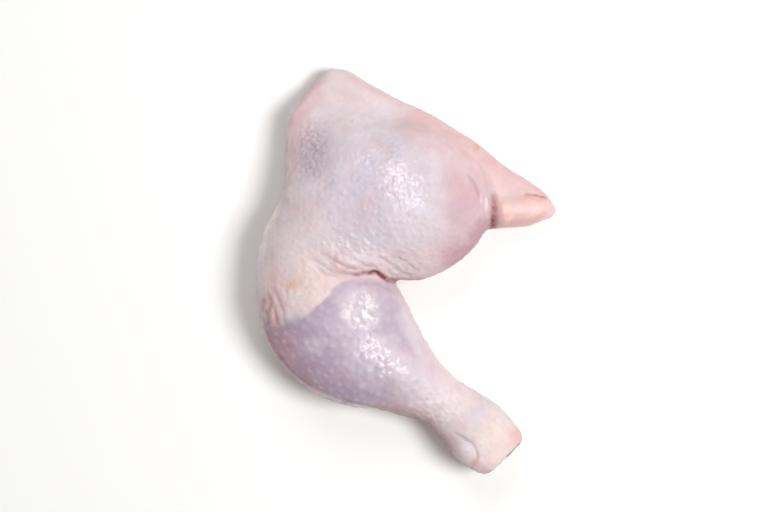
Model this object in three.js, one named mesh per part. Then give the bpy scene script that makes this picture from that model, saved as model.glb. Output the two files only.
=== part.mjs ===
// A raw chicken leg with its skin on: thigh, drumstick and the tail end of the back in one piece,
// lying on its inner side. Millimetres, +Z up. From above, +Y runs from the hock to the hip and the
// knee is bent to -X. The origin is on the table, under the middle of the leg's outline.
//
// The flesh is a blend of rounded muscles, each an ellipsoid or a chain of ellipsoids, and one skin is
// drawn over the blend.

import * as THREE from "three";

const { clamp, degToRad, lerp, smoothstep } = THREE.MathUtils;

// Driving sizes. Widths are seen from above.
const THIGH_WIDTH = 83; // the round of the thigh
const THIGH_HEIGHT = 44;
const FLANK_WIDTH = 41; // the thinner flesh beside it
const FLANK_HEIGHT = 36;
const KNEE_WIDTH = 58;
const KNEE_HEIGHT = 38;
const CALF_WIDTH = 59; // the drumstick at its fattest
const CALF_HEIGHT = 41;
const SHANK_WIDTH = 24.5; // the drumstick at its thinnest
const ANKLE_WIDTH = 29.5;
const ANKLE_HEIGHT = 22;
const HOCK_LEVEL = 16; // the ankle's middle: the shank stands clear of the table
const TAIL_WIDTH = 15;
const TAIL_HEIGHT = 19;
const BACK_THICKNESS = 14; // the strip of back and flank skin round the top of the thigh
const BACK_RIM = 7; // how round its edge is
const FLANK_EDGE = 13;

// Landmarks, seen from above.
const HIP = new THREE.Vector2(-3, 31);
const KNEE = new THREE.Vector2(-39, 0.5);
const HOCK = new THREE.Vector2(33, -73);
const HOCK_CUT = new THREE.Vector2(45.5, -85.4); // the middle of the cut through the hock joint
const TAIL_TIP = new THREE.Vector2(69.2, 27.5);
const HIP_CORNER = new THREE.Vector2(-31, 93);
const FLANK_CORNER = new THREE.Vector2(-54.8, 70);

// How softly neighbouring forms run into each other.
const FLESH_BLEND = 15;
const BACK_BLEND = 10;
const EDGE_BLEND = 4;
const FOLD_BLEND = 3.5; // where thigh and calf are pressed together
const HOCK_BLEND = 4;
const TABLE_BLEND = 5; // the rim of the flat that the leg rests on

// Flesh is never quite even: slow waves that cross the leg at odd angles.
const UNEVENNESS = 0.25;
const UNEVEN_WAVES = [
  { length: 47, direction: 20 },
  { length: 34, direction: 95 },
  { length: 28, direction: 155 },
];

// The skin's mesh.
const CELL = 3.1;
const SMOOTHING_ROUNDS = 12;
const FLAT_WITHIN = 0.05; // a corner this near the table lies on it

// Distance to an ellipsoid, negative inside. It is turned about the upright axis.
function muscle({ x, y, z, length, width, height, turn = 0 }) {
  const cos = Math.cos(degToRad(turn));
  const sin = Math.sin(degToRad(turn));
  const half = new THREE.Vector3(length / 2, width / 2, height / 2);
  const near = new THREE.Vector3();
  const slope = new THREE.Vector3();
  return (p) => {
    const dx = p.x - x;
    const dy = p.y - y;
    near.set(dx * cos + dy * sin, dy * cos - dx * sin, p.z - z).divide(half);
    slope.copy(near).divide(half);
    const level = near.length();
    return (level * (level - 1)) / Math.max(slope.length(), 1e-6);
  };
}

// A chain of ellipsoids, round from above, strung along a smooth curve through the stations.
function limb(links, stations) {
  const spine = new THREE.CatmullRomCurve3(stations.map((s) => new THREE.Vector3(s.x, s.y, s.z)));
  const girth = new THREE.CatmullRomCurve3(stations.map((s) => new THREE.Vector3(s.width, s.height, 0)));
  const beads = [];
  for (let i = 0; i <= links; i++) {
    const { x, y, z } = spine.getPoint(i / links);
    const { x: width, y: height } = girth.getPoint(i / links);
    beads.push(muscle({ x, y, z, length: width, width, height }));
  }
  return (p) => beads.reduce((least, bead) => Math.min(least, bead(p)), Infinity);
}

// Distance in plan to a closed outline, negative inside.
function planDistance(outline, p) {
  let nearest = Infinity;
  let inside = false;
  outline.forEach((a, i) => {
    const b = outline[(i + 1) % outline.length];
    const run = b.x - a.x;
    const rise = b.y - a.y;
    const along = ((p.x - a.x) * run + (p.y - a.y) * rise) / (run * run + rise * rise);
    const t = clamp(along, 0, 1);
    nearest = Math.min(nearest, Math.hypot(p.x - a.x - t * run, p.y - a.y - t * rise));
    if (a.y > p.y !== b.y > p.y && p.x < a.x + ((p.y - a.y) / rise) * run) inside = !inside;
  });
  return inside ? -nearest : nearest;
}

// A flat slab. The outline is its core, and the rim stands out from it by the rim's radius.
function slab(core, low, high, rim) {
  const outline = core.extractPoints(6).shape;
  return (p) => {
    const sideways = planDistance(outline, p);
    const upright = Math.abs(p.z - (low + high) / 2) - ((high - low) / 2 - rim);
    const outside = Math.hypot(Math.max(sideways, 0), Math.max(upright, 0));
    return outside + Math.min(Math.max(sideways, upright), 0) - rim;
  };
}

// Two forms run together over a fillet of about that radius.
function blend(a, b, radius) {
  const share = clamp(0.5 + (0.5 * (b - a)) / radius, 0, 1);
  return lerp(b, a, share) - radius * share * (1 - share);
}

// What is left of a form on the inner side of a cut.
function trim(form, cut, radius) {
  return -blend(-form, -cut, radius);
}

const thighDome = muscle({
  x: HIP.x,
  y: HIP.y,
  z: 0.4 * THIGH_HEIGHT,
  length: THIGH_WIDTH,
  width: 0.86 * THIGH_WIDTH,
  height: 1.2 * THIGH_HEIGHT,
});
const flank = muscle({
  x: -29,
  y: 38,
  z: 0.36 * FLANK_HEIGHT,
  length: FLANK_WIDTH,
  width: 1.77 * FLANK_WIDTH,
  height: FLANK_HEIGHT,
  turn: 4,
});
const knee = muscle({
  x: KNEE.x,
  y: KNEE.y,
  z: KNEE_HEIGHT / 2,
  length: KNEE_WIDTH,
  width: 1.25 * KNEE_WIDTH,
  height: KNEE_HEIGHT + 2,
});
const drumstick = limb(48, [
  { x: -35, y: -24, z: 18, width: 0.95 * CALF_WIDTH, height: 0.97 * CALF_HEIGHT },
  { x: -24.5, y: -32.3, z: 18, width: 0.96 * CALF_WIDTH, height: CALF_HEIGHT + 1 },
  { x: -10, y: -41.6, z: 16.5, width: 0.73 * CALF_WIDTH, height: 0.9 * CALF_HEIGHT },
  { x: 0, y: -49.5, z: 15.5, width: 0.57 * CALF_WIDTH, height: 0.74 * CALF_HEIGHT },
  { x: 8.5, y: -54.3, z: 15, width: 1.07 * SHANK_WIDTH, height: 1.02 * SHANK_WIDTH },
  { x: 16.5, y: -59.2, z: 15, width: 0.98 * SHANK_WIDTH, height: 0.9 * SHANK_WIDTH },
  { x: 25, y: -65.8, z: 15.3, width: 0.93 * ANKLE_WIDTH, height: ANKLE_HEIGHT },
  { x: HOCK.x, y: HOCK.y, z: HOCK_LEVEL, width: ANKLE_WIDTH, height: ANKLE_HEIGHT },
  { x: HOCK_CUT.x, y: HOCK_CUT.y, z: HOCK_LEVEL, width: 0.88 * ANKLE_WIDTH, height: 0.95 * ANKLE_HEIGHT },
]);
// The calf muscle's head, which bulges where the thigh presses on it.
const calfHead = muscle({ x: -17, y: -13, z: 18.5, length: 29, width: 30, height: 0.97 * CALF_HEIGHT });
// The end of a sinew, which stands out beside the hock.
const hockKnob = muscle({ x: 29.5, y: -82, z: HOCK_LEVEL + 3, length: 19, width: 12, height: 15, turn: -40 });
const tailLobe = limb(16, [
  { x: 41, y: 27.3, z: 9, width: TAIL_WIDTH, height: TAIL_HEIGHT },
  { x: 54, y: 27.8, z: 8.5, width: 0.9 * TAIL_WIDTH, height: 0.9 * TAIL_HEIGHT },
  { x: TAIL_TIP.x - 3.5, y: TAIL_TIP.y, z: 6.5, width: 7, height: 9 },
]);

// The strip of back and flank skin, from the flank's corner over the hip to the tail.
const backOutline = new THREE.Shape()
  .moveTo(FLANK_CORNER.x + BACK_RIM, FLANK_CORNER.y - 3)
  .lineTo(HIP_CORNER.x - 2, HIP_CORNER.y - BACK_RIM)
  .lineTo(HIP_CORNER.x + 2, HIP_CORNER.y - BACK_RIM)
  .splineThru([
    new THREE.Vector2(-18.5, 79),
    new THREE.Vector2(3.5, 68),
    new THREE.Vector2(29.5, 52),
    new THREE.Vector2(59.5, 30.5),
  ])
  .lineTo(TAIL_TIP.x - 14, TAIL_TIP.y)
  .lineTo(HIP.x, HIP.y)
  .lineTo(-40, 30)
  .lineTo(FLANK_CORNER.x + BACK_RIM + 1, 42);
const back = slab(backOutline, -BACK_RIM, BACK_THICKNESS, BACK_RIM);
// The flank's edge, which is thicker than the rest of the strip.
const flankEdge = limb(12, [
  { x: -38.5, y: 77, z: 8, width: FLANK_EDGE, height: 16 },
  { x: -46.4, y: 67, z: 10, width: FLANK_EDGE, height: 23 },
  { x: -46.8, y: 53, z: 11, width: FLANK_EDGE, height: 25 },
  { x: -46.2, y: 43, z: 13, width: FLANK_EDGE, height: 27 },
]);

const cutDirection = HOCK_CUT.clone().sub(HOCK).normalize();
const hockCut = (p) => (p.x - HOCK_CUT.x) * cutDirection.x + (p.y - HOCK_CUT.y) * cutDirection.y;

function unevenness(p) {
  let height = 0;
  for (const { length, direction } of UNEVEN_WAVES) {
    const along = p.x * Math.cos(degToRad(direction)) + p.y * Math.sin(degToRad(direction));
    height += UNEVENNESS * Math.sin((2 * Math.PI * along) / length);
  }
  return height;
}

function leg(p) {
  const towardsFlank = smoothstep(-p.x, -20, 25);
  const thighFlesh = blend(thighDome(p), flank(p), FLESH_BLEND);
  const strip = blend(back(p), flankEdge(p), EDGE_BLEND);
  const thigh = blend(thighFlesh, strip, lerp(BACK_BLEND, FLESH_BLEND, towardsFlank));
  const upperLeg = blend(thigh, knee(p), FLESH_BLEND);

  const calf = blend(drumstick(p), calfHead(p), FLESH_BLEND / 2);
  const lowerLeg = trim(blend(calf, hockKnob(p), HOCK_BLEND), hockCut(p), HOCK_BLEND);
  const towardsKnee = smoothstep(-p.x, 18, 45);
  const bentLeg = blend(upperLeg, lowerLeg, lerp(FOLD_BLEND, FLESH_BLEND, towardsKnee));

  const whole = blend(bentLeg, tailLobe(p), FOLD_BLEND);
  return trim(whole + unevenness(p), -p.z, TABLE_BLEND);
}

// Every whole-number triple from a first value up to, but not including, the last.
function* triples(first, last) {
  for (let k = first; k < last.z; k++)
    for (let j = first; j < last.y; j++) for (let i = first; i < last.x; i++) yield [i, j, k];
}

const add = (a, b) => a.map((value, n) => value + b[n]);
const AXES = [
  [1, 0, 0],
  [0, 1, 0],
  [0, 0, 1],
];
const CELL_CORNERS = [...triples(0, new THREE.Vector3(2, 2, 2))];
const CELL_EDGES = CELL_CORNERS.flatMap((corner) =>
  AXES.filter((_, n) => corner[n] === 0).map((axis) => [corner, add(corner, axis)]),
);

// The form's distance at every point of a grid over a box.
function sampleGrid(distance, box) {
  const cells = box.getSize(new THREE.Vector3()).divideScalar(CELL).ceil();
  const points = cells.clone().addScalar(1);
  const index = ([i, j, k]) => (k * points.y + j) * points.x + i;
  const place = (point) => new THREE.Vector3(...point).multiplyScalar(CELL).add(box.min);
  const levels = [];
  for (const point of triples(0, points)) levels[index(point)] = distance(place(point));
  return { cells, index, place, levels };
}

// One mesh corner for each cell that the surface crosses: the middle of where it crosses the cell's edges.
function findCorners({ cells, index, place, levels }) {
  const corners = [];
  const cornerOf = new Map();
  for (const cell of triples(0, cells)) {
    const crossings = CELL_EDGES.flatMap(([start, end]) => {
      const from = add(cell, start);
      const to = add(cell, end);
      const a = levels[index(from)];
      const b = levels[index(to)];
      return a < 0 === b < 0 ? [] : [place(from).lerp(place(to), a / (a - b))];
    });
    if (!crossings.length) continue;
    cornerOf.set(index(cell), corners.length);
    corners.push(crossings.reduce((sum, point) => sum.add(point)).divideScalar(crossings.length));
  }
  return { corners, cornerOf };
}

// One quad for each edge of the grid that the surface crosses, between the corners of the four cells round it.
function findQuads({ cells, index, levels }, cornerOf) {
  const quads = [];
  for (const point of triples(1, cells))
    AXES.forEach((axis, n) => {
      const here = levels[index(point)] < 0;
      const there = levels[index(add(point, axis))] < 0;
      if (here === there) return;
      const left = AXES[(n + 1) % 3].map((value) => -value);
      const below = AXES[(n + 2) % 3].map((value) => -value);
      const round = [add(add(point, left), below), add(point, below), point, add(point, left)];
      const quad = round.map((cell) => cornerOf.get(index(cell)));
      quads.push(here ? quad : quad.reverse());
    });
  return quads;
}

// Moves a point down the slope of the distance until it lies on the surface.
function drawOnto(distance, point) {
  const step = 0.01;
  for (let turn = 0; turn < 3; turn++) {
    const here = distance(point);
    const slope = new THREE.Vector3(
      distance(point.clone().setX(point.x + step)) - here,
      distance(point.clone().setY(point.y + step)) - here,
      distance(point.clone().setZ(point.z + step)) - here,
    ).divideScalar(step);
    point.addScaledVector(slope, -here / Math.max(slope.lengthSq(), 0.1));
  }
}

// Spaces the corners evenly over the surface.
function evenOut(distance, corners, quads) {
  const neighbours = corners.map(() => new Set());
  for (const quad of quads)
    quad.forEach((corner, n) => {
      const next = quad[(n + 1) % 4];
      neighbours[corner].add(next);
      neighbours[next].add(corner);
    });
  for (let round = 0; round < SMOOTHING_ROUNDS; round++) {
    const middles = neighbours.map((around) => {
      const middle = new THREE.Vector3();
      around.forEach((n) => middle.addScaledVector(corners[n], 1 / around.size));
      return middle;
    });
    corners.forEach((corner, n) => drawOnto(distance, corner.lerp(middles[n], 0.5)));
  }
  for (const corner of corners) if (Math.abs(corner.z) < FLAT_WITHIN) corner.z = 0;
}

// The skin over a form, each quad split along its shorter diagonal.
function skinOver(distance, box) {
  const grid = sampleGrid(distance, box);
  const { corners, cornerOf } = findCorners(grid);
  const quads = findQuads(grid, cornerOf);
  evenOut(distance, corners, quads);
  const triangles = quads.flatMap(([a, b, c, d]) =>
    corners[a].distanceTo(corners[c]) < corners[b].distanceTo(corners[d])
      ? [a, b, c, a, c, d]
      : [a, b, d, b, c, d],
  );
  const geometry = new THREE.BufferGeometry().setFromPoints(corners).setIndex(triangles);
  geometry.computeVertexNormals();
  return geometry;
}

const room = new THREE.Box3(
  new THREE.Vector3(FLANK_CORNER.x - 25, HOCK_CUT.y - 20, -10),
  new THREE.Vector3(TAIL_TIP.x + 10, HIP_CORNER.y + 10, THIGH_HEIGHT + 10),
);
const skin = new THREE.MeshStandardMaterial({ color: 0xdccdd2, roughness: 0.35, metalness: 0 });
const chickenLeg = new THREE.Mesh(skinOver(leg, room), skin);
chickenLeg.name = "chicken_leg";

// The outline's middle comes over the origin.
chickenLeg.geometry.computeBoundingBox();
const middle = chickenLeg.geometry.boundingBox.getCenter(new THREE.Vector3());
chickenLeg.position.set(-middle.x, -middle.y, 0);

const part = new THREE.Group();
part.add(chickenLeg);

export default part;
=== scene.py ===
# A raw chicken leg with its skin on: thigh, bent drumstick and the tail end of the back, seen from above on
# white. Settings are in millimetres, with x and y as seen from above in the part's own frame, unless a note
# says otherwise.

import math

import bmesh
import bpy
import numpy as np
from mathutils import Matrix, Vector, noise


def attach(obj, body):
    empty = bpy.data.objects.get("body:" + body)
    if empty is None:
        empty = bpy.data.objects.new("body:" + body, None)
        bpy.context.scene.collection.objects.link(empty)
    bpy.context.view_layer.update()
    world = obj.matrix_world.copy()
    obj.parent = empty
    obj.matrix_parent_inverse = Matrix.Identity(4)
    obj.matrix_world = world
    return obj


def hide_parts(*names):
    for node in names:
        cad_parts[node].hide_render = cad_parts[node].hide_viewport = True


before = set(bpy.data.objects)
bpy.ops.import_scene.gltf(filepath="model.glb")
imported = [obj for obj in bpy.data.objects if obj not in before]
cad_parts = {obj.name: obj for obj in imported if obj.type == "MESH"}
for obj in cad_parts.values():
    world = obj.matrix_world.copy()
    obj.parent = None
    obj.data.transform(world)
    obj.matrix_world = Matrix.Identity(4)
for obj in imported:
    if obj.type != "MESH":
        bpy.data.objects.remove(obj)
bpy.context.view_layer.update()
scene = bpy.context.scene
mm = 0.001


def toLinear(colour):
    parts = [int(colour[i:i + 2], 16) / 255 for i in (1, 3, 5)]
    return [c / 12.92 if c <= 0.04045 else ((c + 0.055) / 1.055) ** 2.4 for c in parts] + [1]


def addNode(tree, kind, values=None, links=None, **settings):
    node = tree.nodes.new(kind)
    for name, value in settings.items():
        setattr(node, name, value)
    for socket, value in (values or {}).items():
        node.inputs[socket].default_value = value
    for socket, source in (links or {}).items():
        tree.links.new(source, node.inputs[socket])
    return node


# Camera: straight above, placed so that the leg fills the picture as it does in the photograph.
shot = {
    "lens": 90,
    "sensor": 36,
    "pictureWidth": 353.3,         # what the picture spans at the level below
    "level": 8,                    # where the leg's outline is widest
    "aim": (-10.7, 6.6),
}


def addCamera():
    data = bpy.data.cameras.new("overhead")
    data.lens = shot["lens"]
    data.sensor_width = shot["sensor"]
    camera = bpy.data.objects.new("overhead", data)
    height = shot["level"] + shot["pictureWidth"] * shot["lens"] / shot["sensor"]
    camera.location = Vector((*shot["aim"], height)) * mm
    scene.collection.objects.link(camera)
    scene.camera = camera


addCamera()
print("camera placed")


# Studio: white card under even white light. The key on the right throws the shadow to the left, a weak fill
# comes from the top of the picture, and two long boxes overhead only show as the gloss on the wet skin.
# Angles are in degrees: from and turn are counted from +X, and tilt from straight up.
studio = {
    "card": "#f7f7f6",
    "cardWidth": 12000,
    "cardRoughness": 0.95,
    "cardShine": 0.1,
    "surround": 0.3,               # strength of the faintly warm white all round
    "surroundTone": "#fffdfa",
    "distance": 1400,              # from the lights to the middle of the card
    "lights": [
        {"name": "key", "use": "light", "watts": 15.5, "size": (600, 600),
         "from": -6, "tilt": 29, "turn": 0},
        {"name": "fill", "use": "light", "watts": 5.5, "size": (900, 900),
         "from": 102, "tilt": 45, "turn": 0},
        {"name": "longBox", "use": "gloss", "watts": 25, "size": (170, 1400),
         "from": 86, "tilt": 22, "turn": 117},
        {"name": "lowBox", "use": "gloss", "watts": 26, "size": (330, 1100),
         "from": -45, "tilt": 22, "turn": 125},
    ],
}


def addCard():
    mesh = bpy.data.meshes.new("white_card")
    half = studio["cardWidth"] * mm / 2
    corners = [(-half, -half, 0), (half, -half, 0), (half, half, 0), (-half, half, 0)]
    mesh.from_pydata(corners, [], [(0, 1, 2, 3)])
    card = bpy.data.objects.new("white_card", mesh)
    scene.collection.objects.link(card)
    material = bpy.data.materials.new("matt white card")
    material.use_nodes = True
    shader = material.node_tree.nodes["Principled BSDF"]
    shader.inputs["Base Color"].default_value = toLinear(studio["card"])
    shader.inputs["Roughness"].default_value = studio["cardRoughness"]
    shader.inputs["Specular IOR Level"].default_value = studio["cardShine"]
    mesh.materials.append(material)


def addLight(row):
    data = bpy.data.lights.new(row["name"], "AREA")
    data.shape = "ELLIPSE"
    data.size, data.size_y = (side * mm for side in row["size"])
    data.energy = row["watts"]
    light = bpy.data.objects.new(row["name"], data)
    around, lean, turn = (math.radians(row[name]) for name in ("from", "tilt", "turn"))
    away = Vector((math.sin(lean) * math.cos(around), math.sin(lean) * math.sin(around), math.cos(lean)))
    side = Vector((math.cos(turn), math.sin(turn), 0)).cross(away).normalized()
    axes = Matrix((side, away.cross(side), away)).transposed()    # the lamp's long way runs along turn
    light.location = away * studio["distance"] * mm
    light.rotation_mode = "QUATERNION"
    light.rotation_quaternion = axes.to_quaternion()
    light.visible_diffuse = row["use"] == "light"
    light.visible_glossy = row["use"] == "gloss"
    scene.collection.objects.link(light)


def addSurround():
    world = bpy.data.worlds.new("white room")
    world.use_nodes = True
    backdrop = world.node_tree.nodes["Background"]
    backdrop.inputs["Color"].default_value = toLinear(studio["surroundTone"])
    backdrop.inputs["Strength"].default_value = studio["surround"]
    scene.world = world


addCard()
addSurround()
for row in studio["lights"]:
    addLight(row)
scene.view_settings.view_transform = "Standard"
scene.view_settings.look = "None"
print("studio lit")


# Skin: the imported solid's own surface, made finer so that folds and pimples are real shapes.
skin = {
    "node": "chicken_leg",
    "weld": 0.01,
    "joinAngle": 60,               # degrees: triangles that meet more sharply stay triangles
    "finerRounds": 2,              # facets of about 0.7 mm
}


def plainMesh(piece):              # what the modifiers make becomes the piece's own mesh
    depsgraph = bpy.context.evaluated_depsgraph_get()
    made = bpy.data.meshes.new_from_object(piece.evaluated_get(depsgraph), preserve_all_data_layers=True,
                                           depsgraph=depsgraph)
    piece.modifiers.clear()
    piece.data = made


def copySkin():
    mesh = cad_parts[skin["node"]].data.copy()
    mesh.name = "chicken_leg_skin"
    mesh.materials.clear()
    angle = math.radians(skin["joinAngle"])
    work = bmesh.new()
    work.from_mesh(mesh)
    bmesh.ops.remove_doubles(work, verts=work.verts, dist=skin["weld"] * mm)
    bmesh.ops.join_triangles(work, faces=work.faces, angle_face_threshold=angle, angle_shape_threshold=angle)
    work.to_mesh(mesh)
    work.free()
    piece = bpy.data.objects.new("chicken_leg_skin", mesh)
    scene.collection.objects.link(piece)
    finer = piece.modifiers.new("finer", "SUBSURF")
    finer.levels = skin["finerRounds"]
    finer.render_levels = skin["finerRounds"]
    plainMesh(piece)
    return piece


def readSkin(mesh):                # places in millimetres, and the way each point faces
    places = np.empty(len(mesh.vertices) * 3)
    facing = np.empty(len(mesh.vertices) * 3)
    mesh.vertices.foreach_get("co", places)
    mesh.vertex_normals.foreach_get("vector", facing)
    return places.reshape(-1, 3) / mm, facing.reshape(-1, 3)


def writeSkin(mesh, places):
    mesh.vertices.foreach_set("co", (places * mm).ravel())
    mesh.update()


def smooth(low, high, value):      # eases from 0 at low to 1 at high
    share = np.clip((value - low) / (high - low), 0, 1)
    return share * share * (3 - 2 * share)


def lumps(places, size, seed):     # soft noise from -1 to 1, with lumps of about that size
    shift = seed * 17.3            # each seed reads the noise somewhere else
    return np.array([noise.noise(p) for p in (places / size + shift).tolist()])


def curveThrough(points, steps=6):
    ends = np.array([points[0], *points, points[-1]], float)
    path = []
    for a, b, c, d in zip(ends, ends[1:], ends[2:], ends[3:]):
        for t in np.arange(steps) / steps:
            path.append(0.5 * (2 * b + (c - a) * t + (2 * a - 5 * b + 4 * c - d) * t ** 2
                               + (3 * b - a - 3 * c + d) * t ** 3))
    return np.array([*path, ends[-1]])


def nearLine(plan, points):        # how far from the line, what share along it, and on which side
    path = curveThrough(points)
    away = np.full(len(plan), 1e9)
    along = np.zeros(len(plan))
    side = np.ones(len(plan))      # 1 to the left of the line, -1 to its right
    for n, (start, end) in enumerate(zip(path, path[1:])):
        run = end - start
        t = np.clip((plan - start) @ run / max(run @ run, 1e-9), 0, 1)
        gap = plan - start - t[:, None] * run
        distance = np.hypot(gap[:, 0], gap[:, 1])
        nearer = distance < away
        away[nearer] = distance[nearer]
        along[nearer] = (n + t[nearer]) / (len(path) - 1)
        side[nearer] = np.sign(run[0] * gap[nearer, 1] - run[1] * gap[nearer, 0])
    return away, along, side


# Places where the skin is drawn sideways: which way, and by how much. Along that way the pull comes in over
# the length before the place and dies out over the length behind it. Sideways it dies out over the width.
pulls = {
    "corner of the fold":
        {"at": (-1.4, -7.3), "way": (-0.853, 0.522), "by": 4, "before": 8, "behind": 10, "width": 3.6},
    "edge of the flank":
        {"at": (-55.5, 55), "way": (1, 0), "by": 0.9, "before": 8, "behind": 16, "width": 13},
    "blunt corner of the flank":
        {"at": (-53.5, 73), "way": (-0.8, 0.6), "by": 0.8, "before": 12, "behind": 8, "width": 4.5},
}


def drawSkin(piece):
    places = readSkin(piece.data)[0]
    moved = places.copy()
    for row in pulls.values():
        way = np.array(row["way"])
        gap = places[:, :2] - row["at"]
        ahead = gap @ way
        beside = gap @ np.array([-way[1], way[0]])
        fullBefore = 0.4 * row["before"]    # from there on the pull is full
        share = smooth(-row["before"], -fullBefore, ahead) * smooth(row["behind"], 0, ahead)
        pull = row["by"] * share * np.exp(-(beside / row["width"]) ** 2)
        moved[:, :2] += pull[:, None] * way
    writeSkin(piece.data, moved)


# Lines on the leg that several settings follow: the fold behind the knee, the rim at the drumstick's front,
# the edge where thin skin over lean flesh meets the fat skin of thigh and knee, and the drumstick's back.
foldLine = [(-36, 2.9), (-31, 0.2), (-25.4, -1.6), (-20.4, -1.5), (-17, -1.1), (-14.4, -0.4), (-11.2, -2.6),
            (-8, -4), (-3.4, -5.4)]
skinEdge = [(-65.9, -21.9), (-64.5, -27.4), (-61.8, -34.3), (-57.2, -41.2), (-51.7, -47.2), (-45.2, -52),
            (-34.6, -57.3), (-20.8, -61.2), (-7, -63.3)]
leanEdge = [(70, -22), (10, -9), (-3.4, -5.6), (-7, -5.4), (-12.6, -3.8), (-19.5, -3.2), (-25.4, -3.7),
            (-29.6, -5), (-32.6, -7.6), (-35.6, -11.2), (-40.9, -15.5), (-45.2, -19.2), (-54.6, -22.2),
            (-80, -28)]
drumstickBack = [(-3.4, -5.4), (-2.1, -10.3), (1.7, -18.1), (5.6, -27.1), (10.8, -34.8), (17.2, -42.6),
                 (27, -52)]

# Folds: furrows in the skin. Each has a swollen lip to the left and to the right of its line, some red flesh
# showing in its depth, and painted shade along it. It comes in over the first part of its length, 0.3 of it
# unless fadeIn says more.
folds = [
    # the deep fold behind the knee, and the wrinkles of the thigh that run into it
    {"line": foldLine,
     "depth": 2, "width": 0.75, "lips": (0.4, 0), "red": 1.4, "shade": 0.7, "fadeIn": 0.65},
    {"line": [(-45, 6.5), (-39, 3.2), (-33, -0.5), (-27, -1.6)],
     "depth": 0.4, "width": 0.6, "lips": (0.2, 0.2), "red": 0.2, "shade": 0.25},
    {"line": [(-42, 2.4), (-36.9, -0.8), (-31, -2.6)],
     "depth": 0.35, "width": 0.6, "lips": (0.2, 0.2), "red": 0.12, "shade": 0.2},
    {"line": [(-40, 9), (-33, 5), (-27, 1.5), (-22, 0.5)],
     "depth": 0.35, "width": 0.6, "lips": (0.2, 0.2), "red": 0.2, "shade": 0.25},
    {"line": [(-30, 8), (-24, 5), (-18, 2.5), (-13, 1.6)],
     "depth": 0.3, "width": 0.6, "lips": (0.2, 0.2), "red": 0.15, "shade": 0.2},
    {"line": [(-16, 8), (-9, 4), (-3, 0), (3, -3)],
     "depth": 0.3, "width": 0.6, "lips": (0.2, 0.2), "red": 0.25, "shade": 0.15},
    {"line": [(-6, 7), (0, 3), (6, -1)],
     "depth": 0.25, "width": 0.6, "lips": (0.2, 0.2), "red": 0.2, "shade": 0.15},
    # short folds bunched on the outer side of the knee
    {"line": [(-64.4, -11), (-64.7, -15), (-65, -19)],
     "depth": 0.22, "width": 0.8, "lips": (0.12, 0.12), "red": 0.25, "shade": 0.03},
    {"line": [(-62.2, -10), (-61.5, -14.5), (-61.7, -18.5)],
     "depth": 0.24, "width": 0.8, "lips": (0.12, 0.12), "red": 0.3, "shade": 0.03},
    {"line": [(-61, -6), (-58.3, -11.3), (-56.5, -14.5), (-55.7, -19.5)],
     "depth": 0.26, "width": 0.9, "lips": (0.15, 0.12), "red": 0.3, "shade": 0.04},
    {"line": [(-55, -6.5), (-54, -11.5), (-54.4, -16)],
     "depth": 0.15, "width": 0.8, "lips": (0.1, 0.1), "red": 0.12, "shade": 0.03},
    {"line": [(-63.4, -16.5), (-62.9, -20.5), (-62.7, -25)],
     "depth": 0.24, "width": 0.8, "lips": (0.12, 0.12), "red": 0.3, "shade": 0.04},
    {"line": [(-59.6, -16), (-58.8, -20.5), (-58.5, -25)],
     "depth": 0.22, "width": 0.8, "lips": (0.12, 0.12), "red": 0.3, "shade": 0.04},
    {"line": [(-56, -17.5), (-55.2, -22), (-55, -26.5)],
     "depth": 0.2, "width": 0.8, "lips": (0.12, 0.12), "red": 0.3, "shade": 0.03},
    # the thigh's right side, the notch before the tail, and the tail's own two creases
    {"line": [(25, 44), (27.4, 41.6), (29.8, 38.6), (31.4, 35), (32, 32)],
     "depth": 0.15, "width": 0.8, "lips": (0, 0.2), "red": 0.25, "shade": 0},
    {"line": [(39.3, 37), (39.3, 29), (38.9, 22), (38.3, 15)],
     "depth": 1.5, "width": 1.15, "lips": (0.2, 0.7), "red": 0.95, "shade": 0},
    {"line": [(39, 33.8), (46, 33.4), (53, 34.2), (63, 33.6)],
     "depth": 0.35, "width": 1.5, "lips": (0, 0), "red": 0.06, "shade": 0},
    {"line": [(52, 34.3), (56, 34.6), (60, 34), (64, 32)],
     "depth": 0.5, "width": 0.5, "lips": (0.4, 0.2), "red": 0.55, "shade": 0.3},
    # round the knob at the hock, along the drumstick's front, and beside the knee's fat pad
    {"line": [(18.5, -71.5), (22, -73.5), (26, -75.7), (29.1, -77.5), (31.2, -80.8), (31.6, -83.9),
              (29.4, -88)],
     "depth": 0.5, "width": 0.55, "lips": (0, 0.3), "red": 0.1, "shade": 0.65},
    {"line": [(x + 1, y + 0.9) for x, y in skinEdge],
     "depth": 0.4, "width": 0.5, "lips": (0, 0.4), "red": 0.1, "shade": 0.15},
    {"line": [(-29.5, -9), (-33.5, -13), (-38, -16.5)],
     "depth": 0.25, "width": 0.6, "lips": (0.25, 0.25), "red": 0, "shade": 0.15},
    {"line": [(-26, -10), (-29, -13), (-32, -16.5)],
     "depth": 0.2, "width": 0.6, "lips": (0.2, 0.2), "red": 0, "shade": 0.1},
]

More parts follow.
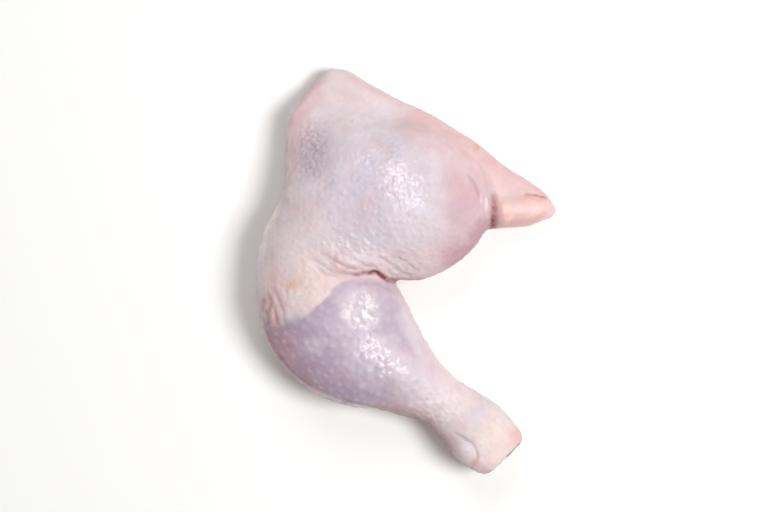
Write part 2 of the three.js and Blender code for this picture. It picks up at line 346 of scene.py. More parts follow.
# Hollows and swellings of the flesh below the skin: an oval at a place or a band along a line, and how high.
swellings = {
    "hollow behind the flank's rim": {"at": (-45, 54), "across": (12, 21), "height": -1.2},
    "flank's rim":
        {"line": [(-45, 79), (-51.5, 71), (-52.8, 56), (-52.6, 44), (-54, 34)], "width": 4, "height": 0.9},
    "fat pad on the knee": {"at": (-43, -8), "across": (15, 14), "height": 0.5},
    "calf pressed down": {"line": [(-24, -4.5), (-14, -4), (-6, -7.5)], "width": 3.5, "height": -1.0},
    "thigh over the fold": {"line": [(-30, 4), (-16, 3.5), (-5, -1)], "width": 5, "height": 0.9},
    "shin muscle": {"at": (0, -45), "across": (16, 18), "height": 2.0},
    "tail lobe": {"line": [(44, 28), (62, 28)], "width": 10, "height": 1.2},
    "blunt end of the lobe": {"at": (43.6, 26.5), "across": (4.6, 8), "height": 2},
    "knob at the hock": {"at": (24.8, -79), "across": (7.5, 6), "height": 1},
    "pinched skin by the tail": {"line": [(34.6, 35), (35.3, 26.5)], "width": 1.6, "height": 0.6},
}

# Where loose skin is crumpled: place, length and spacing of the wrinkles, the way they run in degrees, their
# height, and how much shade is painted into their valleys.
crumples = [
    # the flank, crumpled two ways, and the thigh's skin above the fold
    {"at": (-43.5, 55), "across": (11.5, 21), "size": (2.8, 1.9), "turn": 55,
     "height": 0.27, "shade": 0.35, "seed": 1},
    {"at": (-44, 55), "across": (11, 20), "size": (2.6, 2.1), "turn": 105,
     "height": 0.24, "shade": 0.3, "seed": 13},
    {"at": (2, 3), "across": (22, 13), "size": (5, 2), "turn": -36,
     "height": 0.22, "shade": 0.15, "seed": 2},
    {"at": (-22, 11), "across": (26, 14), "size": (4, 1.9), "turn": -22,
     "height": 0.28, "shade": 0.14, "seed": 3},
    {"at": (-38, 5), "across": (18, 13), "size": (6, 2.3), "turn": -30,
     "height": 0.22, "shade": 0.15, "seed": 4},
    # the knee's outer side and its fat pad, then the shank and its front
    {"at": (-60, -13), "across": (10, 14), "size": (9, 3), "turn": -78,
     "height": 0.2, "shade": 0.08, "seed": 5},
    {"at": (-46, -6), "across": (16, 14), "size": (4, 3), "turn": 20,
     "height": 0.2, "shade": 0.12, "seed": 6},
    {"at": (14, -61), "across": (20, 15), "size": (3, 2.3), "turn": -45,
     "height": 0.3, "shade": 0.2, "seed": 7},
    {"at": (5, -67), "across": (24, 7), "size": (4, 1.6), "turn": -25,
     "height": 0.35, "shade": 0.35, "seed": 14},
    # faint unevenness all over the thigh and more on its top, over the drumstick, and at the hock
    {"at": (-5, 40), "across": (70, 60), "size": (4.5, 3.2), "turn": 60,
     "height": 0.08, "shade": 0.06, "seed": 8},
    {"at": (-3, 41), "across": (18, 20), "size": (3.4, 2.6), "turn": 60,
     "height": 0.17, "shade": 0, "seed": 16},
    {"at": (-10, -40), "across": (60, 50), "size": (12, 9), "turn": -50,
     "height": 0.22, "shade": 0.06, "seed": 9},
    {"at": (38, -72), "across": (22, 22), "size": (6, 5), "turn": -45,
     "height": 0.18, "shade": 0.08, "seed": 10},
]

# How the relief lies. A slope is the upward part of the way the skin faces: 1 on top, 0 on a wall.
relief = {
    "foldSlope": (-0.05, 0.35),    # folds come in between these slopes
    "swellingSlope": (0.1, 0.6),
    "fadeIn": 0.3,
    "fadeOut": 0.8,                # share of its length from which a fold dies out
    "lipAt": 2.4,                  # from a fold's line to its lips, in widths of the fold
    "wobble": 0.5,                 # how far folds stray from their lines
    "redMean": 0.75,               # share of a fold's red that shows, and how much it comes and goes
    "redBreaks": 0.7,
    "ridge": 3,                    # steepness of crumpled skin, which reaches from the valley to about 1
    "valley": -0.6,
    "crumpleEdge": (1, 0.2),       # from the edge of a crumpled place to where it is crumpled fully
    "offTable": 2.5,              # height above the table at which the relief is full
}


def reachOf(plan, row):            # 0 in the middle of a patch, 1 at its edge
    if "line" in row:
        return nearLine(plan, row["line"])[0] / row["width"]
    over = (plan - row["at"]) / row["across"]
    return np.hypot(over[:, 0], over[:, 1])


def wrinkles(places, row):         # rounded ridges with sharp valleys between them
    turn = math.radians(row["turn"])
    length, spacing = row["size"]
    along = places[:, 0] * math.cos(turn) + places[:, 1] * math.sin(turn)
    across = places[:, 1] * math.cos(turn) - places[:, 0] * math.sin(turn)
    spaced = np.stack([along / length, across / spacing, places[:, 2] / spacing], 1)
    return relief["ridge"] * np.abs(lumps(spaced, size=1, seed=row["seed"])) + relief["valley"]


def shapeSkin(piece):
    places, facing = readSkin(piece.data)
    plan = places[:, :2]
    foldShare = smooth(*relief["foldSlope"], facing[:, 2])
    swellingShare = smooth(*relief["swellingSlope"], facing[:, 2])
    height = np.zeros(len(places))
    red = np.zeros(len(places))
    shade = np.zeros(len(places))
    wobble = relief["wobble"] * lumps(places, size=3.2, seed=30)
    broken = relief["redMean"] + relief["redBreaks"] * lumps(places, size=2, seed=31)
    for fold in folds:
        away, along, side = nearLine(plan, fold["line"])
        across = (away * side + wobble) / fold["width"]
        fadeIn = fold.get("fadeIn", relief["fadeIn"])
        present = foldShare * smooth(0, fadeIn, along) * smooth(1, relief["fadeOut"], along)
        furrow = np.exp(-across ** 2) * present
        height -= fold["depth"] * furrow
        height += fold["lips"][0] * np.exp(-(across - relief["lipAt"]) ** 2 / 2) * present
        height += fold["lips"][1] * np.exp(-(across + relief["lipAt"]) ** 2 / 2) * present
        red = np.maximum(red, fold["red"] * furrow * broken)
        shade = np.maximum(shade, fold["shade"] * furrow)
    for row in swellings.values():
        height += row["height"] * smooth(1, 0, reachOf(plan, row)) * swellingShare
    for row in crumples:
        zone = smooth(*relief["crumpleEdge"], reachOf(plan, row))
        ridges = wrinkles(places, row)
        height += row["height"] * zone * ridges
        shade = np.maximum(shade, row["shade"] * zone * smooth(0, relief["valley"], ridges))
    height *= smooth(0, relief["offTable"], places[:, 2])
    writeSkin(piece.data, places + facing * height[:, None])
    return np.clip(red, 0, 1), shade


# Patches of colour under the skin: the layer, an oval at a place or a band along a line, and how strong.
# They keep off the steep sides unless they are onWalls. onLean and offLean keep to one side of the lean
# flesh's edge. A feather is the share of a band's length over which each of its ends fades out. Wet is gloss.
patches = {
    "thigh": [
        {"layer": "veil", "at": (-14, 36), "across": (48, 46), "amount": 0.9},
        {"layer": "veil", "at": (3, 28), "across": (15, 12), "amount": 1},
        {"layer": "veil", "at": (14, 56.5), "across": (8, 8), "amount": 0.9},
        {"layer": "pale", "at": (-6, 43), "across": (10, 10), "amount": 0.25},
        # painted light, lifting shade on the thigh's left slope
        {"layer": "pale", "at": (-44, 36.5), "across": (9, 8), "amount": 0.4},
        {"layer": "pale", "at": (-39.5, 2.5), "across": (7, 5), "amount": 0.35},
        {"layer": "pale", "at": (7, 3.5), "across": (13, 8), "amount": 0.4},
        {"layer": "blush", "at": (8, 3), "across": (20, 9), "amount": 0.35},
        {"layer": "mauve", "at": (26, 28), "across": (20, 26), "amount": 0.7},
        # towards the thigh's lower right: the mauve is partly the skin's own tone, partly painted shade, and
        # the shade band is painted shade on the side turned from the light
        {"layer": "mauve", "line": [(35, 17), (32, 9), (24, 4)], "width": 19, "amount": 1},
        {"layer": "shade", "line": [(37, 16), (33, 9), (26, 4)], "width": 12, "amount": 0.3},
        {"layer": "blush", "line": [(21.5, 48), (27, 37)], "width": 11, "amount": 0.3},
        {"layer": "shade", "line": [(21.5, 48), (27, 37)], "width": 11, "amount": 0.12},
        {"layer": "shade", "at": (-25, 67.4), "across": (1, 1.7), "amount": 0.35},
        {"layer": "shade", "at": (-22.2, 51.2), "across": (1.3, 1.1), "amount": 0.35},
        {"layer": "wet", "line": [(-12.5, 55), (-4.5, 45.5), (0.5, 38)], "width": 17, "amount": 1},
        {"layer": "wet", "at": (-27, 13), "across": (21, 12), "amount": 0.65},
    ],
    "rim of the thigh": [
        # painted light on the thigh's left wall, which the key does not reach, with a painted rim glow at its
        # edge
        {"layer": "pale", "line": [(-55.5, 36), (-60, 28), (-64.5, 20), (-67.3, 10), (-68.4, 0)],
         "width": 2.4, "amount": 0.6, "onWalls": True, "feather": 0.4},
        {"layer": "paintedRimGlow", "line": [(-55.8, 38), (-60.2, 26.8), (-63.6, 18.5), (-65.8, 11), (-67.2, -1)],
         "width": 3.4, "amount": 0.85, "onWalls": True, "feather": 0.3},
        {"layer": "pale", "line": [(-65.5, 12), (-66, 4), (-66, -8), (-65.5, -14)],
         "width": 5, "amount": 0.9, "onWalls": True, "feather": 0.4},
        {"layer": "pale", "line": [(-66, 12), (-68, -4)], "width": 5, "amount": 0.6},
    ],
    "flank": [
        # darker in the hollow behind the rim: partly violet flesh, partly painted shade
        {"layer": "lean", "at": (-43.5, 53.5), "across": (17, 25), "amount": 0.5},
        {"layer": "fat", "at": (-27, 84), "across": (16, 15), "amount": 0.15},
        {"layer": "shade", "at": (-28, 84), "across": (15, 12), "amount": 0.09},
        {"layer": "blush", "at": (-30, 84), "across": (15, 12), "amount": 0.15},
        {"layer": "blush", "line": [(-51.5, 72), (-52, 55), (-52, 46)], "width": 5, "amount": 0.4},
        {"layer": "blush", "line": [(-53, 66), (-48, 75), (-42, 82)], "width": 9, "amount": 0.55},
        # the rim's cream and pink are partly its own tone, partly painted light on a wall the key does not
        # reach; the last band is a painted rim glow
        {"layer": "peach", "line": [(-52.8, 74), (-54.2, 56), (-54.2, 38)],
         "width": 4.6, "amount": 1, "onWalls": True, "feather": 0.25},
        {"layer": "blush", "line": [(-50, 75), (-54.4, 70), (-55.2, 58), (-55.2, 42)],
         "width": 4.5, "amount": 0.4, "onWalls": True, "feather": 0.3},
        {"layer": "pale", "line": [(-38, 85), (-52, 71), (-53.4, 58), (-53.4, 38)],
         "width": 3.6, "amount": 0.25, "onWalls": True},
        {"layer": "paintedRimGlow", "line": [(-50, 75), (-54.4, 70), (-55.2, 58), (-55.2, 40)],
         "width": 4.5, "amount": 0.55, "onWalls": True, "feather": 0.35},
    ],
    "strip of the back": [
        {"layer": "blush", "line": [(-20, 87), (4, 76)], "width": 8, "amount": 0.38},
        {"layer": "blush", "line": [(8, 70), (34, 53), (60, 36)], "width": 19, "amount": 0.6},
        {"layer": "gold", "at": (31.8, 56.2), "across": (3.4, 3), "amount": 0.5},
        {"layer": "gold", "at": (32.2, 56.6), "across": (1.6, 1.4), "amount": 1},
    ],
    "tail": [
        {"layer": "peach", "line": [(47, 26.5), (62, 28)], "width": 14, "amount": 1},
        {"layer": "blush", "at": (52, 29), "across": (22, 13), "amount": 0.6},
        # the darker pink along the lobe's lower edge is partly its own tone, partly painted shade
        {"layer": "blush", "line": [(44, 21), (55, 22.5), (62, 26)], "width": 4, "amount": 0.75},
        # painted highlight along the top of the lobe
        {"layer": "pale", "line": [(45, 28.2), (59, 27.8)], "width": 3.2, "amount": 0.35},
        {"layer": "gold", "line": [(45, 27), (52, 27)], "width": 5, "amount": 0.08},
        {"layer": "gold", "line": [(54, 33.6), (62, 32.4)], "width": 1.6, "amount": 0.3},
        {"layer": "red", "line": [(39.2, 33.5), (39.2, 28), (38.8, 20.5)], "width": 3.2, "amount": 0.48},
        # painted highlight of the wet streak beside the tail
        {"layer": "pale", "at": (33, 32.5), "across": (1.2, 4), "amount": 0.55},
        {"layer": "pale", "at": (35.2, 30.5), "across": (1.2, 4.5), "amount": 0.7},
        {"layer": "wet", "line": [(34.6, 35), (35.3, 26.5)], "width": 3, "amount": 0.9},
        {"layer": "wet", "line": [(43, 28), (61, 28)], "width": 6, "amount": 0.35},
    ],
    "knee": [
        {"layer": "fat", "at": (-44, -7), "across": (20, 17), "amount": 0.6, "offLean": True},
        {"layer": "blush", "at": (-42, -3), "across": (22, 17), "amount": 0.22, "offLean": True},
        {"layer": "blush", "at": (-61, -14), "across": (10, 16), "amount": 0.5},
        {"layer": "blush", "at": (-58, -3.5), "across": (7, 8), "amount": 0.45},
        {"layer": "peach", "at": (-64, -5), "across": (8, 14), "amount": 0.55},
        {"layer": "gold", "at": (-51.7, -6.3), "across": (6, 4), "amount": 0.4},
    ],
    "fold behind the knee": [
        {"layer": "blush", "line": [(-30, 4), *foldLine[1:]], "width": 6, "amount": 0.4, "offLean": True},
        {"layer": "blush", "line": [(-30, -3.5), (-20, -2.4), (-11, -3.4)], "width": 2.4, "amount": 0.45},
        # painted shadow under the thigh's overhanging edge where the drumstick passes below it
        {"layer": "shade", "line": [(-7, -4.4), (-1, -5.4), (6, -4.2)], "width": 2.2, "amount": 0.6},
        {"layer": "red", "line": [(-7, -4.2), (-2, -5.2), (3, -5)], "width": 1.6, "amount": 0.5},
    ],
    "drumstick": [
        # painted sheen along the drumstick's crest
        {"layer": "veil", "line": [(-22, -16), (-20, -32), (-6, -45), (8, -53)],
         "width": 17, "amount": 0.4, "onLean": True},
        {"layer": "mauve", "line": [(-64, -28), (-58, -40), (-48, -48)], "width": 13, "amount": 0.5},
        {"layer": "blush", "at": (-54, -35), "across": (9, 11), "amount": 0.25},
        {"layer": "red", "at": (-56, -30), "across": (5, 6), "amount": 0.1},
        {"layer": "red", "at": (-53.5, -34), "across": (3, 5), "amount": 0.25},
        {"layer": "red", "at": (-57.2, -40.3), "across": (3, 5), "amount": 0.25},
        # the pale under the two gloss clusters here and below is painted highlight
        {"layer": "pale", "at": (-21.4, -17), "across": (13, 13), "amount": 0.7},
        {"layer": "pale", "at": (-40, -23), "across": (10, 8), "amount": 0.08},
        {"layer": "pale", "at": (-42, -33), "across": (8, 7), "amount": 0.32},
        {"layer": "pale", "at": (-17, -51), "across": (9, 6), "amount": 0.25},
        {"layer": "pale", "line": [(-24, -24), (-26.4, -35), (-17, -46)], "width": 14, "amount": 0.17},
        {"layer": "pale", "line": [(-12, -34), (-1, -47)], "width": 13, "amount": 0.45},
        {"layer": "wet", "at": (-20.4, -17.8), "across": (12, 12), "amount": 1},
        {"layer": "wet", "line": [(-13, -34), (-1, -48)], "width": 13, "amount": 1},
    ],
    "drumstick's back": [
        {"layer": "blush", "line": drumstickBack, "width": 3.5, "amount": 0.15},
        {"layer": "pale", "line": drumstickBack[2:], "width": 5, "amount": 0.4},
        {"layer": "pale", "line": [(-1, -21), (2, -29), (5.5, -36)], "width": 6, "amount": 0.45},
        {"layer": "pale", "at": (6, -41), "across": (8, 8), "amount": 0.45},
        {"layer": "blush", "at": (9.5, -44.9), "across": (4, 4), "amount": 0.25},
        {"layer": "blush", "line": [(10, -42), (17, -50), (26, -58)], "width": 8, "amount": 0.2},
    ],
    "drumstick's front": [
        # partly the skin's own cream edge, partly painted rim light from the card
        {"layer": "fat", "line": [(x - 0.4, y - 0.4) for x, y in skinEdge],
         "width": 1.3, "amount": 1, "onWalls": True},
        {"layer": "pale", "line": [(x - 0.4, y - 0.4) for x, y in skinEdge[:-1]],
         "width": 1.3, "amount": 0.6, "onWalls": True},
        {"layer": "fat", "line": [(-48, -50), (-35, -56.5), (-20, -60.5)],
         "width": 3, "amount": 0.4, "onWalls": True, "feather": 0.5},
    ],
    "shank": [
        {"layer": "pale", "line": [(2, -46), (12, -55), (20, -60)], "width": 12, "amount": 0.45},
        {"layer": "blush", "line": [(-14, -62), (0, -64), (10, -69), (18, -79)], "width": 7, "amount": 0.3},
        # painted shade on the shank's lower edge, turned from the light
        {"layer": "shade", "line": [(-14, -62.5), (0, -65), (10, -71), (17, -80)],
         "width": 5, "amount": 0.45},
        {"layer": "red", "line": [(2, -66), (9, -70), (14, -75), (19, -82)], "width": 1.8, "amount": 0.25},
        {"layer": "wet", "at": (17, -63), "across": (12, 13), "amount": 0.15},
    ],
    "hock": [
        {"layer": "fat", "at": (42, -76), "across": (18, 19), "amount": 0.85},
        {"layer": "veil", "at": (31.5, -67), "across": (7, 8), "amount": 0.7},
        # painted highlight on the knob, and painted shade by its crease
        {"layer": "pale", "at": (26.5, -81), "across": (6, 6), "amount": 0.7},
        {"layer": "shade", "at": (28.3, -76), "across": (5, 4), "amount": 0.12},
        {"layer": "peach", "at": (39, -86.5), "across": (8, 7), "amount": 0.9},
        {"layer": "pale", "at": (39, -87), "across": (7, 6), "amount": 0.4},
        {"layer": "blush", "at": (50, -75), "across": (7, 8), "amount": 0.7},
        {"layer": "blush", "at": (36, -92), "across": (5, 4), "amount": 0.7},
        {"layer": "blush", "at": (30.3, -86.8), "across": (3, 3), "amount": 0.7},
        {"layer": "gold", "at": (30.4, -85.8), "across": (2.5, 3), "amount": 0.16},
    ],
}

# How the layers spread. Slopes are as in the relief. Clouds are soft noise, and their number says how much
# they change. A pair runs from where there is nothing to where there is all of it, but for places and ways.
spread = {
    "edge": (-0.6, 0.8),           # across the edge of the lean flesh, in blurs
    "edgeClouds": 0.6,
    "edgeBlur": 1.2,
    "kneeBlur": 4,                 # added to the blur on the knee's outer side
    "kneeSide": (-38, -60),        # x over which it is added
    "leanEnd": (50, 26),           # along the drumstick, where its lean flesh gives way to the shank
    "leanEndClouds": 4,
    "leanFromBack": (2, 6),        # distances from the drumstick's back over which the lean flesh deepens
    "leanAtBack": 0.5,             # its share there
    # The lean flesh deepens towards the drumstick's front: partly its own tone, partly painted shade on the
    # side turned from the key.
    "frontWay": (-0.55, -0.83),    # from the fold to the drumstick's front
    "leanToFront": (5, 45),        # distances that way over which the lean flesh deepens
    "leanAtFold": 0.65,            # its share there
    "leanSlope": (-0.1, 0.45),
    "wallSlope": (0.3, -0.3),      # from the top's colours to the walls' own cream and pink
    "wallFat": 0.5,
    "wallBlush": 0.3,
    "wallBlushClouds": 0.4,
    "rimSlope": (-0.02, 0.2),      # where patches that are onWalls come in
    "rimClouds": 0.06,
    "rimBreaks": (-0.9, 0.1),      # clouds over which such patches come in
    "patch": (1, 0.1),             # from a patch's edge inwards
    "patchClouds": 0.16,
    "featherClouds": 0.1,
    "featherBreaks": (-0.9, 0.2),  # noise over which a feathered patch comes in
    "veilClouds": 0.6,
    "flush": 0.15,                 # pink clouds all over
    "flushFrom": (0, 0.6),
    "cutMiddle": (44.5, -85.6),    # the cut through the hock, and the way it faces
    "cutWay": (0.71, -0.70),
    "cutDepth": (-6, -1),          # along that way, from before the cut to its face
    "cutClouds": 0.06,
    "cutJags": 0.11,
    "gristleFrom": (0.93, 0.97),   # how squarely the skin faces that way: the cut's face
    "tornFrom": (0.74, 0.82),      # and its dark torn rim
    "tornTo": (0.97, 0.92),
    "tornBreaks": (0, 0.25),
    "bareTail": {"at": (54, 30), "across": (18, 13)},    # no pimples there
    "bareTailEdge": (1, 0.6),
    "pimplesEnd": (58, 36),        # along the drumstick, where its large pimples end
    "pimplesUp": (0.5, 2.5),       # heights above the table over which pimples come in
}


def upFrom(share, amount):         # that share where the amount is 0, and all of it where it is 1
    return share + (1 - share) * amount


def colourSkin(piece, red, shade):
    places, facing = readSkin(piece.data)
    plan = places[:, :2]
    x, y = plan.T
    slope = facing[:, 2]
    clouds = lumps(places, size=6, seed=7) + 0.5 * lumps(places, size=2.5, seed=8)
    layers = [name for name, tone in poultrySkin["layers"]]
    amounts = {name: np.zeros(len(places)) for name in [*layers, "wet"]}

    away, _, side = nearLine(plan, leanEdge)
    blur = spread["edgeBlur"] + spread["kneeBlur"] * smooth(*spread["kneeSide"], x)
    onDrumstick = smooth(*spread["edge"], away * side / blur + spread["edgeClouds"] * clouds)
    alongDrumstick = (x - y) * 0.707                # it runs down to the right at 45 degrees
    toFront = spread["frontWay"][0] * x + spread["frontWay"][1] * y
    fromBack = nearLine(plan, drumstickBack)[0]
    lean = onDrumstick * smooth(*spread["leanEnd"], alongDrumstick + spread["leanEndClouds"] * clouds)
    lean = lean * upFrom(spread["leanAtBack"], smooth(*spread["leanFromBack"], fromBack))
    # deeper towards the front: partly the flesh's tone, partly painted shade
    amounts["lean"] = lean * upFrom(spread["leanAtFold"], smooth(*spread["leanToFront"], toFront))

    walls = smooth(*spread["wallSlope"], slope)     # the steep sides and the underside
    rims = smooth(*spread["rimSlope"], slope + spread["rimClouds"] * clouds)
    cloudy = smooth(*spread["featherBreaks"], lumps(places, size=7, seed=40))
    for row in [row for rows in patches.values() for row in rows]:
        reach = reachOf(plan, row) + spread["patchClouds"] * clouds
        covered = row["amount"] * smooth(*spread["patch"], reach)
        if "offLean" in row:
            covered = covered * (1 - onDrumstick)
        if "onLean" in row:
            covered = covered * onDrumstick
        if "onWalls" in row:
            covered = covered * rims * smooth(*spread["rimBreaks"], clouds)
        else:
            covered = covered * (1 - walls)
        if "feather" in row:
            feather = row["feather"]
            along = nearLine(plan, row["line"])[1] + spread["featherClouds"] * clouds
            covered = covered * smooth(0, feather, along) * smooth(1, 1 - feather, along) * cloudy
        amounts[row["layer"]] = np.maximum(amounts[row["layer"]], covered)
    amounts["lean"] *= smooth(*spread["leanSlope"], slope)
    amounts["fat"] += spread["wallFat"] * walls
    amounts["blush"] += (spread["wallBlush"] + spread["wallBlushClouds"] * clouds) * walls
    amounts["veil"] *= 1 + spread["veilClouds"] * lumps(places, size=9, seed=9)
    amounts["blush"] += spread["flush"] * smooth(*spread["flushFrom"], lumps(places, size=8, seed=10))

    cutWay = np.array(spread["cutWay"])
    atEnd = smooth(*spread["cutDepth"], (plan - spread["cutMiddle"]) @ cutWay)
    jags = spread["cutJags"] * lumps(places, size=1.3, seed=12)
    turned = facing[:, :2] @ cutWay + spread["cutClouds"] * clouds + jags
    amounts["gristle"] = atEnd * smooth(*spread["gristleFrom"], turned)
    torn = atEnd * smooth(*spread["tornFrom"], turned) * smooth(*spread["tornTo"], turned)
    torn = torn * smooth(*spread["tornBreaks"], lumps(places, size=4, seed=15))
    amounts["red"] = np.maximum(amounts["red"], red)
    amounts["shade"] = np.maximum.reduce([amounts["shade"], shade, torn])

    offTable = smooth(*spread["pimplesUp"], places[:, 2])
    tail = smooth(*spread["bareTailEdge"], reachOf(plan, spread["bareTail"]))
    onDrum = onDrumstick * smooth(*spread["pimplesEnd"], alongDrumstick)
    amounts["drumPimples"] = onDrum * offTable
    amounts["thighPimples"] = (1 - onDrum) * (1 - tail) * offTable
    for name, values in amounts.items():
        layer = piece.data.attributes.new(name, "FLOAT", "POINT")
        layer.data.foreach_set("value", np.clip(values, 0, 1).astype(np.float32))


# Raw poultry skin: wet, thin and pimpled, cream where fat lies under it and violet over lean flesh.
# The eye sees a soft waxy body with a broken wet gloss on its pimples. Each layer lies over those before it.
poultrySkin = {
    "plain": "#d9cbce",
    "layers": [
        ("lean", "#ae9caf"),       # violet flesh under thin skin
        ("veil", "#cfc5d2"),       # bluish flesh under thicker skin; painted sheen along the drumstick's crest
        ("fat", "#e4d2ca"),
        ("mauve", "#c59ea9"),
        ("peach", "#efd2c9"),
        ("blush", "#dcafae"),
        # pale: pale skin, and also painted highlights and painted light on walls the key does not reach
        ("pale", "#e8dce1"),
        ("paintedRimGlow", "#faece7"),      # painted rim glow: light seen through thin skin at a rim
        ("gold", "#d59a5c"),       # specks of yellow fat
        # shade: painted shade in folds, wrinkle valleys, under edges and on sides turned from the light; also
        # a few real dark specks
        ("shade", "#9c8083"),
        ("red", "#884145"),        # raw flesh in the folds; painted shadow under the thigh's edge
        ("gristle", "#d8ccc2"),
    ],
    "follicle": "#dcd0d8",
    "follicleShare": 0.2,
    "mottle": 6,                   # cloudy patches
    "mottleRange": (0.93, 1.05),   # from the darkest to the lightest
    "grain": 0.9,                  # the fine net of lines between pimples, drawn coarse enough to show
    "grainHeight": 0.06,
    "grainStrength": 0.35,
    "film": 1.6,                   # ripples in the wet film
    "filmHeight": 0.5,
    "filmStrength": (0.25, 0.65),  # on dry skin and on wet skin
    "roughness": (0.48, 0.62),
    "coat": (0.06, 0.7),           # on dry skin and on wet skin
    "coatRoughness": 0.15,
    "coatBending": 1.35,           # index of refraction, here and below
    "bending": 1.4,
    "shine": 0.12,
    "glow": 0.2,                   # share of the light that wanders through the flesh
    "glowTint": (1, 0.4, 0.3),
    "glowDepth": 1.2,
}


def makePoultrySkin():
    look = poultrySkin
    material = bpy.data.materials.new("raw poultry skin")
    material.use_nodes = True
    tree = material.node_tree
    shader = tree.nodes["Principled BSDF"]
    place = addNode(tree, "ShaderNodeTexCoord").outputs["Object"]
    noiseSpan = {"From Min": 0.3, "From Max": 0.7}    # most of what a noise texture gives lies between these

    shade = None                   # a mix has its two colours in inputs 6 and 7
    for name, tone in look["layers"]:
        amount = addNode(tree, "ShaderNodeAttribute", attribute_name=name)
        under = {6: shade} if shade else {}
        shade = addNode(tree, "ShaderNodeMix", {6: toLinear(look["plain"]), 7: toLinear(tone)},
                        {0: amount.outputs["Fac"], **under}, data_type="RGBA").outputs[2]
    lean = addNode(tree, "ShaderNodeAttribute", attribute_name="lean")
    follicle = addNode(tree, "ShaderNodeAttribute", attribute_name="follicle")
    dots = addNode(tree, "ShaderNodeMath", links={0: lean.outputs["Fac"], 1: follicle.outputs["Fac"]},
                   operation="MULTIPLY")
    paler = addNode(tree, "ShaderNodeMath", {1: look["follicleShare"]}, {0: dots.outputs[0]},
                    operation="MULTIPLY")
    shade = addNode(tree, "ShaderNodeMix", {7: toLinear(look["follicle"])}, {0: paler.outputs[0], 6: shade},
                    data_type="RGBA").outputs[2]
    clouds = addNode(tree, "ShaderNodeTexNoise",
                     {"Scale": 1 / (look["mottle"] * mm), "Detail": 4, "Roughness": 0.6}, {"Vector": place})
    darkest, lightest = look["mottleRange"]
    depth = addNode(tree, "ShaderNodeMapRange", {**noiseSpan, "To Min": darkest, "To Max": lightest},
                    {"Value": clouds.outputs["Fac"]})
    shade = addNode(tree, "ShaderNodeVectorMath", links={0: shade, "Scale": depth.outputs[0]},
                    operation="SCALE").outputs[0]
    tree.links.new(shade, shader.inputs["Base Color"])

    wet = addNode(tree, "ShaderNodeAttribute", attribute_name="wet")
    film = addNode(tree, "ShaderNodeTexNoise", {"Scale": 1 / (look["film"] * mm), "Detail": 1},
                   {"Vector": place})
    sleekest, roughest = look["roughness"]
    rough = addNode(tree, "ShaderNodeMapRange", {**noiseSpan, "To Min": sleekest, "To Max": roughest},
                    {"Value": film.outputs["Fac"]})
    tree.links.new(rough.outputs[0], shader.inputs["Roughness"])
    grain = addNode(tree, "ShaderNodeTexVoronoi", {"Scale": 1 / (look["grain"] * mm)}, {"Vector": place},
                    feature="SMOOTH_F1")
    net = addNode(tree, "ShaderNodeBump",
                  {"Strength": look["grainStrength"], "Distance": look["grainHeight"] * mm},
                  {"Height": grain.outputs["Distance"]})
    dry, soaked = look["filmStrength"]
    strength = addNode(tree, "ShaderNodeMapRange", {"To Min": dry, "To Max": soaked},
                       {"Value": wet.outputs["Fac"]})
    ripples = addNode(tree, "ShaderNodeBump", {"Distance": look["filmHeight"] * mm},
                      {"Height": film.outputs["Fac"], "Normal": net.outputs["Normal"],
                       "Strength": strength.outputs[0]})
    tree.links.new(ripples.outputs["Normal"], shader.inputs["Normal"])
    tree.links.new(ripples.outputs["Normal"], shader.inputs["Coat Normal"])
    dry, soaked = look["coat"]
    coat = addNode(tree, "ShaderNodeMapRange", {"To Min": dry, "To Max": soaked},
                   {"Value": wet.outputs["Fac"]})
    tree.links.new(coat.outputs[0], shader.inputs["Coat Weight"])

    shader.inputs["IOR"].default_value = look["bending"]
    shader.inputs["Specular IOR Level"].default_value = look["shine"]
    shader.inputs["Subsurface Weight"].default_value = look["glow"]
    shader.inputs["Subsurface Radius"].default_value = look["glowTint"]
    shader.inputs["Subsurface Scale"].default_value = look["glowDepth"] * mm
    shader.inputs["Coat Roughness"].default_value = look["coatRoughness"]
    shader.inputs["Coat IOR"].default_value = look["coatBending"]
    return material


# Pimples: the bases of plucked feathers, set apart by a smallest spacing and raised out of the skin.
pimples = [
    {"Mask": "thighPimples", "Spacing": 2.5, "Radius": 1.5, "Height": 0.24, "Seed": 11},
    {"Mask": "drumPimples", "Spacing": 3.6, "Radius": 2.1, "Height": 0.42, "Seed": 5},
]
pimpleSizes = (0.6, 1.2)           # the smallest and the largest, as shares of the radius and height above
pimpleCrowd = 900000               # tried in each square metre, so many that the spacing decides


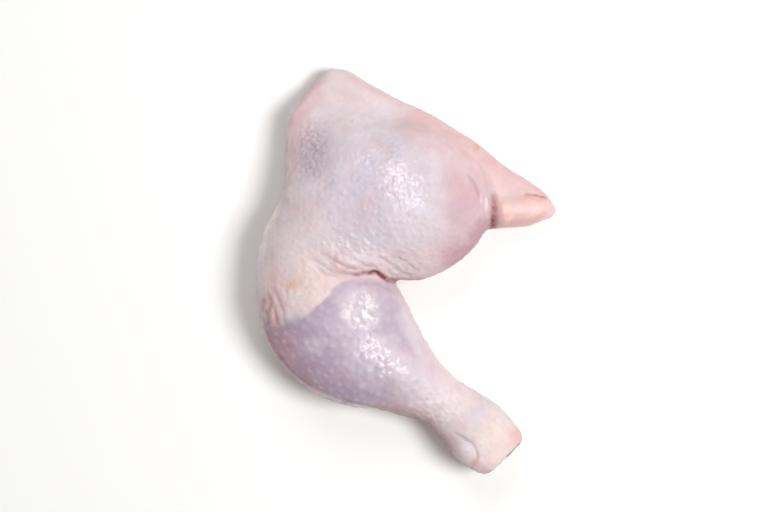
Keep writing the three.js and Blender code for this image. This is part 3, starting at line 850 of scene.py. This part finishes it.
def pimpleTree():
    tree = bpy.data.node_groups.new("pimples", "GeometryNodeTree")
    sockets = {"Geometry": "Geometry", "Mask": "String", "Spacing": "Float", "Radius": "Float",
               "Height": "Float", "Seed": "Int", "Material": "Material"}
    for name, kind in sockets.items():
        tree.interface.new_socket(name, in_out="INPUT", socket_type="NodeSocket" + kind)
    tree.interface.new_socket("Geometry", in_out="OUTPUT", socket_type="NodeSocketGeometry")
    given = addNode(tree, "NodeGroupInput").outputs
    mask = addNode(tree, "GeometryNodeInputNamedAttribute", links={"Name": given["Mask"]}, data_type="FLOAT")
    scatter = addNode(tree, "GeometryNodeDistributePointsOnFaces", {"Density Max": pimpleCrowd},
                      {"Mesh": given["Geometry"], "Distance Min": given["Spacing"],
                       "Density Factor": mask.outputs["Attribute"], "Seed": given["Seed"]},
                      distribute_method="POISSON")
    points = scatter.outputs["Points"]
    nearest = addNode(tree, "GeometryNodeProximity", links={0: points}, target_element="POINTS")
    which = addNode(tree, "GeometryNodeSampleNearest", links={"Geometry": points}, domain="POINT")
    chance = addNode(tree, "FunctionNodeRandomValue", {2: pimpleSizes[0], 3: pimpleSizes[1]},
                     {"Seed": given["Seed"]}, data_type="FLOAT")
    share = addNode(tree, "GeometryNodeSampleIndex",
                    links={"Geometry": points, "Value": chance.outputs[1], "Index": which.outputs[0]},
                    data_type="FLOAT", domain="POINT")
    wide = addNode(tree, "ShaderNodeMath", links={0: share.outputs[0], 1: given["Radius"]},
                   operation="MULTIPLY")
    dome = addNode(tree, "ShaderNodeMapRange", {"From Min": 0, "To Max": 0},
                   {"Value": nearest.outputs["Distance"], "From Max": wide.outputs[0],
                    "To Min": share.outputs[0]}, interpolation_type="SMOOTHSTEP")
    raised = addNode(tree, "ShaderNodeMath", links={0: dome.outputs[0], 1: mask.outputs["Attribute"]},
                     operation="MULTIPLY")
    rise = addNode(tree, "ShaderNodeMath", links={0: raised.outputs[0], 1: given["Height"]},
                   operation="MULTIPLY")
    way = addNode(tree, "GeometryNodeInputNormal")
    push = addNode(tree, "ShaderNodeVectorMath", links={0: way.outputs[0], "Scale": rise.outputs[0]},
                   operation="SCALE")
    moved = addNode(tree, "GeometryNodeSetPosition",
                    links={"Geometry": given["Geometry"], "Offset": push.outputs[0]})
    before = addNode(tree, "GeometryNodeInputNamedAttribute", {"Name": "follicle"}, data_type="FLOAT")
    both = addNode(tree, "ShaderNodeMath", links={0: before.outputs["Attribute"], 1: raised.outputs[0]},
                   operation="MAXIMUM")
    kept = addNode(tree, "GeometryNodeStoreNamedAttribute", {"Name": "follicle"},
                   {"Geometry": moved.outputs[0], "Value": both.outputs[0]},
                   data_type="FLOAT", domain="POINT")
    real = addNode(tree, "GeometryNodeRealizeInstances", links={"Geometry": kept.outputs[0]})
    dressed = addNode(tree, "GeometryNodeSetMaterial",
                      links={"Geometry": real.outputs[0], "Material": given["Material"]})
    addNode(tree, "NodeGroupOutput", links={0: dressed.outputs[0]})
    return tree


def raisePimples(piece, material):
    tree = pimpleTree()
    identifier = {item.name: item.identifier for item in tree.interface.items_tree if item.in_out == "INPUT"}
    for row in pimples:
        modifier = piece.modifiers.new("pimples", "NODES")
        modifier.node_group = tree
        for name in ("Spacing", "Radius", "Height"):
            modifier[identifier[name]] = row[name] * mm
        modifier[identifier["Mask"]] = row["Mask"]
        modifier[identifier["Seed"]] = row["Seed"]
        modifier[identifier["Material"]] = material
    plainMesh(piece)


legSkin = copySkin()
print("skin copied", len(legSkin.data.polygons), "faces")
drawSkin(legSkin)
folded, shaded = shapeSkin(legSkin)
print("folds pressed in")
colourSkin(legSkin, folded, shaded)
print("colours laid")
raisePimples(legSkin, makePoultrySkin())
legSkin.data.shade_smooth()
print("pimples raised", len(legSkin.data.polygons), "faces")

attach(legSkin, "root")
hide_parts(skin["node"])
